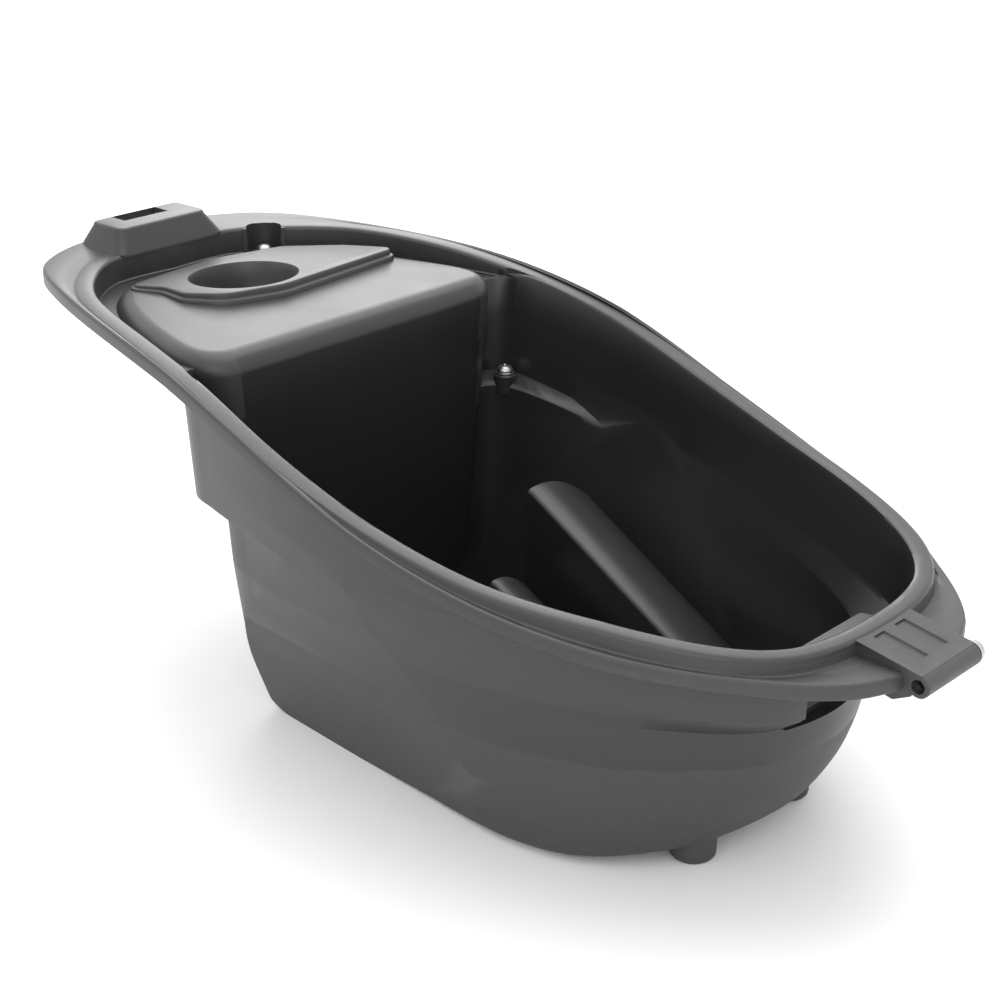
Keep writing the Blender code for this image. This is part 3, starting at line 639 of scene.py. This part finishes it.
    def add_deck(self, tub):
        """Tank cover, pad, filler opening and latch block."""
        add(tub, self.cover_solid(0.0, FAR / 10))
        cut(tub, self.cover_solid(self.wall, 145))
        cut(tub, block("under_deck", (-FAR, -FAR, -FAR), (-112.7, FAR, 222)))
        cut(tub, block("under_step", (-FAR, -FAR, -FAR), (-100.7, FAR, 149.5)))
        add(tub, self.pad_solid())
        neck = self.filler_bore / 2
        add(tub, turned("collar", [(neck + 3, -19), (neck + 3, -0.5)], FILLER, segments=96))
        flare = [(neck, -80), (neck, 2.0), (neck + 6, 12), (neck + 6, 30)]
        cut(tub, turned("filler", flare, FILLER, segments=96))
        add(tub, self.latch_block(0.0))
        cut(tub, self.latch_block(self.wall))
        cut(tub, block("slot", (-318, -20, 252), (-303, 16, 268)))

    def add_tongue(self, tub):
        for body in self.tongue_solids():
            add(tub, body)
        start = (HINGE_X, -BARREL_HALF, HINGE_Z)
        radius = self.barrel_radius
        barrel = [(radius - 0.8, 0), (radius, 0.8), (radius, BARREL_LENGTH - 0.8),
                  (radius - 0.8, BARREL_LENGTH)]
        add(tub, turned("barrel", barrel, start, "Y"))
        cut(tub, turned("bore", [(PIN_BORE, -5), (PIN_BORE, BARREL_LENGTH + 5)], start, "Y"))
        for tool in self.tongue_grooves():
            cut(tub, tool)

    def add_bosses(self, tub):
        for side in (-1, 1):
            boss = [(7.5, 155), (7.5, 166.2), (6.7, 167)]
            add(tub, turned("screw_boss", boss, (-91, side * 122, 0)))
            cut(tub, turned("screw_hole", [(3, -40), (3, 30)], (-91, side * 122, 167)))
        deck = DECK_SCREW + (0,)
        cut(tub, turned("pocket", [(11.5, 227), (12.3, 256)], deck))
        cut(tub, turned("screw_hole", [(3, 187), (3, 257)], deck))
        add(tub, turned("plug_boss", [(7.5, 3.5), (7.5, 11.2), (6.7, 12)], DRAIN))
        cut(tub, turned("drain", [(4.4, -5), (4.4, 30)], DRAIN))


def ledge_share(point):
    """1 at the rear corners, falling to 0 where the ledge runs out along the side."""
    return max(0.0, min(1.0, (-20 - point.x) / 70))


# ---- materials -------------------------------------------------------------------------------
def new_group(name, inputs, outputs):
    """Empty shader node group with named number inputs and outputs."""
    group = bpy.data.node_groups.new(name, "ShaderNodeTree")
    for label, default in inputs:
        socket = group.interface.new_socket(label, in_out="INPUT", socket_type="NodeSocketFloat")
        socket.default_value = default
    for label in outputs:
        group.interface.new_socket(label, in_out="OUTPUT", socket_type="NodeSocketFloat")
    return group, group.nodes.new("NodeGroupInput"), group.nodes.new("NodeGroupOutput")


def wire(tree, pairs):
    for source, target in pairs:
        tree.links.new(source, target)


def maths(tree, operation, *values, clamp=False):
    """Math node; each value is a number or a socket. Gives back its result socket."""
    node = tree.nodes.new("ShaderNodeMath")
    node.operation = operation
    node.use_clamp = clamp
    for socket, value in zip(node.inputs, values):
        if isinstance(value, (int, float)):
            socket.default_value = value
        else:
            tree.links.new(value, socket)
    return node.outputs[0]


def noise(tree, scale, detail=3.0, roughness=0.6):
    node = tree.nodes.new("ShaderNodeTexNoise")
    node.inputs["Detail"].default_value = detail
    node.inputs["Roughness"].default_value = roughness
    place = tree.nodes.new("ShaderNodeTexCoord")
    tree.links.new(place.outputs["Object"], node.inputs["Vector"])
    if isinstance(scale, (int, float)):
        node.inputs["Scale"].default_value = scale
    else:
        tree.links.new(scale, node.inputs["Scale"])
    return node.outputs["Fac"]


def grain_group():
    """Leather-like grain of a textured mould: a height and a fine change of tone."""
    group, given, out = new_group("moulded_grain", [("Scale", 900.0), ("Depth", 1.0)],
                                  ("Height", "Tone"))
    cells = group.nodes.new("ShaderNodeTexVoronoi")
    place = group.nodes.new("ShaderNodeTexCoord")
    wire(group, [(place.outputs["Object"], cells.inputs["Vector"]),
                 (given.outputs["Scale"], cells.inputs["Scale"])])
    fine = noise(group, maths(group, "MULTIPLY", given.outputs["Scale"], 1.7), 4.0)
    mixed = maths(group, "ADD", maths(group, "MULTIPLY", cells.outputs["Distance"], 0.55), fine)
    height = maths(group, "MULTIPLY", mixed, given.outputs["Depth"])
    wire(group, [(height, out.inputs["Height"]), (fine, out.inputs["Tone"])])
    return group


def band_group():
    """Mask of one level band around the object, with slightly uneven edges."""
    group, given, out = new_group("level_band", [("Low", 0.0), ("High", 0.1), ("Soft", 0.002)],
                                  ("Mask",))
    place = group.nodes.new("ShaderNodeTexCoord")
    split = group.nodes.new("ShaderNodeSeparateXYZ")
    group.links.new(place.outputs["Object"], split.inputs[0])
    ragged = maths(group, "MULTIPLY", maths(group, "SUBTRACT", noise(group, 60.0), 0.5), 0.004)
    level = maths(group, "ADD", split.outputs["Z"], ragged)
    above = maths(group, "SUBTRACT", level, given.outputs["Low"])
    below = maths(group, "SUBTRACT", given.outputs["High"], level)
    nearest = maths(group, "MINIMUM", above, below)
    mask = maths(group, "DIVIDE", nearest, given.outputs["Soft"], clamp=True)
    group.links.new(mask, out.inputs["Mask"])
    return group


def wear_group():
    """Pale rubbed edges and faint scuffs, as masks."""
    group, given, out = new_group("edge_wear", [("Amount", 0.3)], ("Edge", "Scuff"))
    shape = group.nodes.new("ShaderNodeNewGeometry")
    ridge = maths(group, "MULTIPLY", maths(group, "SUBTRACT", shape.outputs["Pointiness"], 0.515),
                  9.0, clamp=True)
    broken = maths(group, "MULTIPLY", ridge, noise(group, 140.0, 5.0))
    edge = maths(group, "MULTIPLY", broken, given.outputs["Amount"], clamp=True)
    patch = maths(group, "MULTIPLY", maths(group, "SUBTRACT", noise(group, 9.0, 6.0, 0.7), 0.5), 2.2,
                  clamp=True)
    scuff = maths(group, "MULTIPLY", patch, given.outputs["Amount"], clamp=True)
    wire(group, [(edge, out.inputs["Edge"]), (scuff, out.inputs["Scuff"])])
    return group


def dust_group():
    """Fine dust that lies on faces that look up."""
    group, given, out = new_group("dust", [("Amount", 0.1)], ("Mask",))
    shape = group.nodes.new("ShaderNodeNewGeometry")
    split = group.nodes.new("ShaderNodeSeparateXYZ")
    group.links.new(shape.outputs["Normal"], split.inputs[0])
    upward = maths(group, "SMOOTH_MAX", split.outputs["Z"], 0.0, 0.1)
    speck = maths(group, "MULTIPLY", upward, noise(group, 420.0, 6.0, 0.75))
    mask = maths(group, "MULTIPLY", speck, given.outputs["Amount"], clamp=True)
    group.links.new(mask, out.inputs["Mask"])
    return group


def shared_group(maker, name):
    return bpy.data.node_groups.get(name) or maker()


def use_group(tree, group, **values):
    node = tree.nodes.new("ShaderNodeGroup")
    node.node_tree = group
    for name, value in values.items():
        node.inputs[name.capitalize()].default_value = value
    return node


def blend_colour(tree, share, first, second):
    node = tree.nodes.new("ShaderNodeMix")
    node.data_type = "RGBA"
    tree.links.new(share, node.inputs["Factor"])
    for socket, value in ((node.inputs["A"], first), (node.inputs["B"], second)):
        if isinstance(value, bpy.types.NodeSocket):
            tree.links.new(value, socket)
        else:
            socket.default_value = (*value, 1.0)
    return node.outputs["Result"]


def bump(tree, shader, height, distance, strength=1.0):
    node = tree.nodes.new("ShaderNodeBump")
    node.inputs["Distance"].default_value = distance
    node.inputs["Strength"].default_value = strength
    wire(tree, [(height, node.inputs["Height"]), (node.outputs[0], shader.inputs["Normal"])])


def new_material(name):
    material = bpy.data.materials.new(name)
    material.use_nodes = True
    return material, material.node_tree, material.node_tree.nodes["Principled BSDF"]


def lighter(base, by):
    return tuple(min(1.0, c * by) for c in base)


def plastic(name, base, finish, bands, scale, roughness):
    """Moulded plastic; bands are (low, high, depth) of the levels with grain, in metres."""
    material, tree, shader = new_material(name)
    grain = use_group(tree, shared_group(grain_group, "moulded_grain"), scale=scale, depth=1.0)
    share = 0.0
    for low, high, depth in bands:
        band = use_group(tree, shared_group(band_group, "level_band"), low=low, high=high)
        share = maths(tree, "ADD", share, maths(tree, "MULTIPLY", band.outputs["Mask"], depth))
    share = maths(tree, "ADD", share, 0.10)
    wear = use_group(tree, shared_group(wear_group, "edge_wear"), amount=finish.wear)
    dust = use_group(tree, shared_group(dust_group, "dust"), amount=finish.dust)
    tone = maths(tree, "MULTIPLY", maths(tree, "MULTIPLY", grain.outputs["Tone"], share), 1.0,
                 clamp=True)
    shade_mix = blend_colour(tree, tone, base, lighter(base, 2.1))
    worn = blend_colour(tree, wear.outputs["Edge"], shade_mix, lighter(base, 5.0))
    dusty = blend_colour(tree, dust.outputs["Mask"], worn, (0.30, 0.29, 0.27))
    tree.links.new(dusty, shader.inputs["Base Color"])
    cloudy = maths(tree, "MULTIPLY", maths(tree, "SUBTRACT", noise(tree, 26.0, 5.0), 0.5), 0.12)
    rough = maths(tree, "ADD", maths(tree, "MULTIPLY", share, 0.16), roughness)
    rough = maths(tree, "ADD", rough, cloudy)
    rough = maths(tree, "ADD", rough, maths(tree, "MULTIPLY", wear.outputs["Scuff"], 0.15))
    tree.links.new(rough, shader.inputs["Roughness"])
    shader.inputs["IOR"].default_value = 1.50
    bump(tree, shader, maths(tree, "MULTIPLY", grain.outputs["Height"], share),
         0.0003 * finish.grain / 0.55)
    return material


def steel(name, base, finish):
    """Zinc-plated steel with a turned look and dulled patches."""
    material, tree, shader = new_material(name)
    shader.inputs["Metallic"].default_value = 1.0
    wear = use_group(tree, shared_group(wear_group, "edge_wear"), amount=finish.wear)
    patch = noise(tree, 350.0, 5.0)
    tint = blend_colour(tree, patch, base, lighter(base, 0.72))
    tree.links.new(blend_colour(tree, wear.outputs["Edge"], tint, lighter(base, 1.5)),
                   shader.inputs["Base Color"])
    tree.links.new(maths(tree, "ADD", maths(tree, "MULTIPLY", patch, 0.25), 0.2),
                   shader.inputs["Roughness"])
    bump(tree, shader, patch, 0.00003)
    return material


def rubber(name, base, finish):
    material, tree, shader = new_material(name)
    grain = use_group(tree, shared_group(grain_group, "moulded_grain"), scale=1600.0, depth=0.6)
    dust = use_group(tree, shared_group(dust_group, "dust"), amount=finish.dust * 2)
    tree.links.new(blend_colour(tree, dust.outputs["Mask"], base, (0.2, 0.19, 0.18)),
                   shader.inputs["Base Color"])
    tree.links.new(maths(tree, "ADD", maths(tree, "MULTIPLY", grain.outputs["Tone"], 0.2), 0.6),
                   shader.inputs["Roughness"])
    bump(tree, shader, grain.outputs["Height"], 0.00006)
    return material


def paper(name, base):
    """Matt studio floor, with a faint unevenness."""
    material, tree, shader = new_material(name)
    mottled = noise(tree, 3.0, 4.0)
    tree.links.new(blend_colour(tree, mottled, base, lighter(base, 1.02)),
                   shader.inputs["Base Color"])
    shader.inputs["Roughness"].default_value = 0.9
    shader.inputs["Specular IOR Level"].default_value = 0.1
    return material


# ---- repeated fittings -----------------------------------------------------------------------
def placing_tree():
    """Geometry Nodes tree that stands a copy of the template on every point."""
    tree = bpy.data.node_groups.new("fittings_on_seats", "GeometryNodeTree")
    face = tree.interface
    face.new_socket("Seats", in_out="INPUT", socket_type="NodeSocketGeometry")
    face.new_socket("Template", in_out="INPUT", socket_type="NodeSocketObject")
    face.new_socket("Turn", in_out="INPUT", socket_type="NodeSocketFloat")
    face.new_socket("Finish", in_out="INPUT", socket_type="NodeSocketMaterial")
    face.new_socket("Fittings", in_out="OUTPUT", socket_type="NodeSocketGeometry")
    given = tree.nodes.new("NodeGroupInput")
    out = tree.nodes.new("NodeGroupOutput")
    template = tree.nodes.new("GeometryNodeObjectInfo")
    place = tree.nodes.new("GeometryNodeInstanceOnPoints")
    number = tree.nodes.new("GeometryNodeInputIndex")
    angle = tree.nodes.new("ShaderNodeMath")
    angle.operation = "MULTIPLY"
    turn = tree.nodes.new("ShaderNodeCombineXYZ")
    real = tree.nodes.new("GeometryNodeRealizeInstances")
    dress = tree.nodes.new("GeometryNodeSetMaterial")
    wire(tree, [
        (given.outputs["Template"], template.inputs["Object"]),
        (given.outputs["Seats"], place.inputs["Points"]),
        (template.outputs["Geometry"], place.inputs["Instance"]),
        (number.outputs[0], angle.inputs[0]), (given.outputs["Turn"], angle.inputs[1]),
        (angle.outputs[0], turn.inputs["Z"]), (turn.outputs[0], place.inputs["Rotation"]),
        (place.outputs[0], real.inputs[0]), (real.outputs[0], dress.inputs["Geometry"]),
        (given.outputs["Finish"], dress.inputs["Material"]), (dress.outputs[0], out.inputs[0])])
    return tree


def placed(name, template, seats, turn, material):
    """Plain mesh of the template on each seat; the template is used up."""
    tree = bpy.data.node_groups.get("fittings_on_seats") or placing_tree()
    points = bmesh.new()
    for seat in seats:
        points.verts.new(Vector(seat) * MM)
    holder = linked(name, points)
    step = holder.modifiers.new("fittings", "NODES")
    step.node_group = tree
    sockets = {item.name: item.identifier for item in tree.interface.items_tree
               if item.in_out == "INPUT"}
    step[sockets["Template"]] = template
    step[sockets["Turn"]] = turn
    step[sockets["Finish"]] = material
    bpy.context.view_layer.update()
    graph = bpy.context.evaluated_depsgraph_get()
    mesh = bpy.data.meshes.new_from_object(holder.evaluated_get(graph))
    holder.modifiers.clear()
    holder.data = mesh
    bpy.data.objects.remove(template)
    return holder


def screw_template(length):
    """Dome-headed screw with a cross recess, standing on its washer, thread down."""
    head, shank, seat = 5.5, 2.5, 1.8
    profile = [(1.2, -length), (shank, -length + 2)]
    pitch = 1.4
    turns = int((length - 4) / pitch)
    for t in range(turns):
        low = -length + 2.2 + t * pitch
        profile += [(shank, low), (shank - 0.45, low + pitch * 0.5)]
    profile += [(shank, seat - 1.0), (shank, seat), (head, seat), (head, seat + 0.9)]
    profile += [(head * math.cos(math.radians(a)), seat + 0.9 + 3.2 * math.sin(math.radians(a)))
                for a in (20, 40, 58, 74, 84)]
    body = turned("screw", profile, (0, 0, 0), segments=40)
    top = seat + 4.2
    for long, wide in ((3.1, 0.55), (0.55, 3.1)):
        deep = [Vector((x, y, top - 1.9)) for x, y in ((-long * 0.7, -wide * 0.7),
                (long * 0.7, -wide * 0.7), (long * 0.7, wide * 0.7), (-long * 0.7, wide * 0.7))]
        wide_top = [Vector((p.x / 0.7, p.y / 0.7, top + 0.5)) for p in deep]
        cut(body, solid("recess", [deep, wide_top]))
    return body


def washer_template():
    loop = [(3.0, 0.15), (3.15, 0), (6.3, 0), (6.5, 0.2), (6.5, 1.0), (6.3, 1.2), (3.15, 1.2),
            (3.0, 1.05)]
    return hollow_turned("washer", loop, (0, 0, 0.3))


# ---- operators -------------------------------------------------------------------------------
class BUCKET_OT_tub(bpy.types.Operator):
    """Build the moulded tub with its rim, deck, latch block and tongue"""
    bl_idname = "bucket.tub"
    bl_label = "Tub"

    def execute(self, context):
        scene = context.scene
        finish = scene.bucket_finish
        tub = Moulding(scene.bucket_shape).build()
        tub.name = "tub_shell"
        outer = plastic("outer_plastic", finish.outside, finish,
                        [(0.107, 0.149, 0.55), (-0.01, 0.074, 1.0)], 950.0, 0.36)
        # Cavity material: the same plastic with a smooth finish and a darker colour, which is painted
        # shade.
        inner = plastic("inner_plastic_painted_shade", finish.inside, finish, [], 700.0, 0.30)
        finish_piece(tub, outer, TUB, "tub_plastic", "storage_tub")
        tub.data.materials.append(inner)
        # Faces of the cavity take this darker material: painted shade inside the tub.
        for face in tub.data.polygons:
            if cavity_face_in_painted_shade(face.center / MM, face.normal):
                face.material_index = 1
        shade(tub)
        return {"FINISHED"}


def cavity_face_in_painted_shade(place, normal):
    """True for faces of the cavity, which get the painted shade: they look up or towards the middle
    of the tub.
    """
    if place.x < -112 or place.z > 232 or place.z < 2.0:
        return False
    middle = Vector((max(-60.0, min(170.0, place.x)), 0, 0))
    away = Vector((place.x - middle.x, place.y - middle.y, 0))
    across = away.normalized() if away.length > 1 else Vector((0, 0, 0))
    facing = -normal.dot(across)
    if place.x < -88 and abs(place.y) < 100:
        return normal.x > 0.3
    return facing > 0.2 or (normal.z > 0.35 and abs(place.y) < 150 and place.z < 140)


class BUCKET_OT_screws(bpy.types.Operator):
    """Stand the three screws and their washers on their seats"""
    bl_idname = "bucket.screws"
    bl_label = "Screws and washers"

    def execute(self, context):
        finish = context.scene.bucket_finish
        metal = steel("zinc_plate", finish.steel, finish)
        sets = [("corner_screws", screw_template(18), CORNER_SEATS, "screw_steel",
                 ("corner_screw_right", "corner_screw_left")),
                ("deck_screw_piece", screw_template(12), DECK_SEATS, "screw_steel",
                 ("deck_screw",)),
                ("corner_washers", washer_template(), CORNER_SEATS, "washer_steel",
                 ("corner_washer_right", "corner_washer_left")),
                ("deck_washer_piece", washer_template(), DECK_SEATS, "washer_steel",
                 ("deck_washer",))]
        for name, template, seats, slot, nodes in sets:
            piece = placed(name, template, seats, 0.9, metal)
            shade(piece)
            finish_piece(piece, None, TUB, slot, *nodes)
        return {"FINISHED"}


class BUCKET_OT_pin(bpy.types.Operator):
    """Build the hinge pin and its washer"""
    bl_idname = "bucket.pin"
    bl_label = "Hinge pin"

    def execute(self, context):
        finish = context.scene.bucket_finish
        metal = bpy.data.materials.get("zinc_plate") or steel("zinc_plate", finish.steel, finish)
        near, far, radius, head = -18.0, 26.8, 3.5, 6.0
        profile = [(radius - 1.0, near), (radius - 0.3, near + 0.3), (radius, near + 1),
                   (radius, far), (head - 0.3, far), (head, far + 0.3), (head, far + 2.0)]
        profile += [(head - 1.0 * (1 - math.cos(math.radians(a))),
                     far + 2.0 + 1.0 * math.sin(math.radians(a))) for a in (30, 60, 90)]
        pin = turned("pin_piece", profile, (HINGE_X, 0, HINGE_Z), "Y", 48)
        shade(pin)
        finish_piece(pin, metal, PIN, "pin_steel", "hinge_pin")
        loop = [(3.9, 0.1), (4.0, 0), (6.3, 0), (6.5, 0.2), (6.5, 1.0), (6.3, 1.2), (4.0, 1.2),
                (3.9, 1.1)]
        ring = hollow_turned("pin_washer_piece", loop, (HINGE_X, BARREL_HALF + 0.3, HINGE_Z), "Y")
        shade(ring)
        finish_piece(ring, metal, PIN, "washer_steel", "hinge_pin_washer")
        return {"FINISHED"}


class BUCKET_OT_plug(bpy.types.Operator):
    """Build the rubber drain plug"""
    bl_idname = "bucket.plug"
    bl_label = "Drain plug"

    def execute(self, context):
        finish = context.scene.bucket_finish
        profile = [(2.8, 0.3), (3.6, 0.6), (4.0, 1.4), (4.0, 12.3), (6.6, 12.3), (7.0, 12.8),
                   (7.0, 14.6), (6.6, 15.3), (5.6, 15.8), (3.4, 15.8), (3.0, 15.2), (2.6, 15.0)]
        plug = turned("plug_piece", profile, DRAIN, segments=48)
        shade(plug)
        finish_piece(plug, rubber("plug_rubber", finish.rubber, finish), PLUG, "plug_rubber",
                     "drain_plug")
        return {"FINISHED"}


# Each lamp is (name, place and size in metres, power in watts).
LAMPS = [("overhead", (-0.3, 0.5, 2.0), 2.2, 24.0), ("front_fill", (1.2, -1.8, 1.1), 1.6, 9.0),
         ("back_edge", (-1.6, 1.6, 1.2), 1.2, 14.0)]


class BUCKET_OT_stage(bpy.types.Operator):
    """Set up the floor, the soft light and the camera"""
    bl_idname = "bucket.stage"
    bl_label = "Studio"

    def execute(self, context):
        scene = context.scene
        setup = scene.bucket_stage
        floor = block("studio_floor", (-4000, -4000, -12), (4000, 4000, 0))
        floor.data.materials.append(paper("studio_paper", setup.floor))
        world = scene.world or bpy.data.worlds.new("studio")
        scene.world = world
        scene.view_settings.view_transform = "Standard"
        world.use_nodes = True
        sky = world.node_tree.nodes["Background"]
        sky.inputs["Color"].default_value = (1.0, 1.0, 1.0, 1.0)
        sky.inputs["Strength"].default_value = 1.2
        aim = Vector((setup.aim_forward, 0, setup.aim_height))
        for name, place, size, power in LAMPS:
            lamp = bpy.data.objects.new(name, bpy.data.lights.new(name, "AREA"))
            lamp.data.size = size
            lamp.data.energy = power
            lamp.location = place
            lamp.rotation_euler = (aim - Vector(place)).to_track_quat("-Z", "Y").to_euler()
            scene.collection.objects.link(lamp)
        camera = bpy.data.objects.new("camera", bpy.data.cameras.new("camera"))
        camera.data.lens = setup.focal
        camera.data.sensor_width = 36.0
        level = math.cos(setup.pitch)
        back = Vector((math.sin(setup.azimuth) * level, -math.cos(setup.azimuth) * level,
                       math.sin(setup.pitch)))
        camera.location = aim + back * setup.distance
        camera.rotation_euler = (-back).to_track_quat("-Z", "Y").to_euler()
        scene.collection.objects.link(camera)
        scene.camera = camera
        return {"FINISHED"}


class BUCKET_PT_panel(bpy.types.Panel):
    """Lists the operators and the sizes"""
    bl_label = "Storage bucket"
    bl_idname = "BUCKET_PT_panel"
    bl_space_type = "VIEW_3D"
    bl_region_type = "UI"
    bl_category = "Bucket"

    def draw(self, context):
        layout = self.layout
        for operator in OPERATORS:
            layout.operator(operator.bl_idname)
        for settings in (context.scene.bucket_shape, context.scene.bucket_finish,
                         context.scene.bucket_stage):
            box = layout.box()
            for name in settings.__annotations__:
                box.prop(settings, name)


OPERATORS = (BUCKET_OT_tub, BUCKET_OT_screws, BUCKET_OT_pin, BUCKET_OT_plug, BUCKET_OT_stage)
SETTINGS = (("bucket_shape", BucketShape), ("bucket_finish", BucketFinish),
            ("bucket_stage", BucketStage))


def register():
    for name, settings in SETTINGS:
        bpy.utils.register_class(settings)
        setattr(bpy.types.Scene, name, bpy.props.PointerProperty(type=settings))
    for cls in OPERATORS + (BUCKET_PT_panel,):
        bpy.utils.register_class(cls)


def unregister():
    for cls in reversed(OPERATORS + (BUCKET_PT_panel,)):
        bpy.utils.unregister_class(cls)
    for name, settings in reversed(SETTINGS):
        delattr(bpy.types.Scene, name)
        bpy.utils.unregister_class(settings)


def main():
    register()
    bpy.ops.bucket.tub()
    bpy.ops.bucket.screws()
    bpy.ops.bucket.pin()
    bpy.ops.bucket.plug()
    bpy.ops.bucket.stage()


if __name__ == "__main__":
    main()
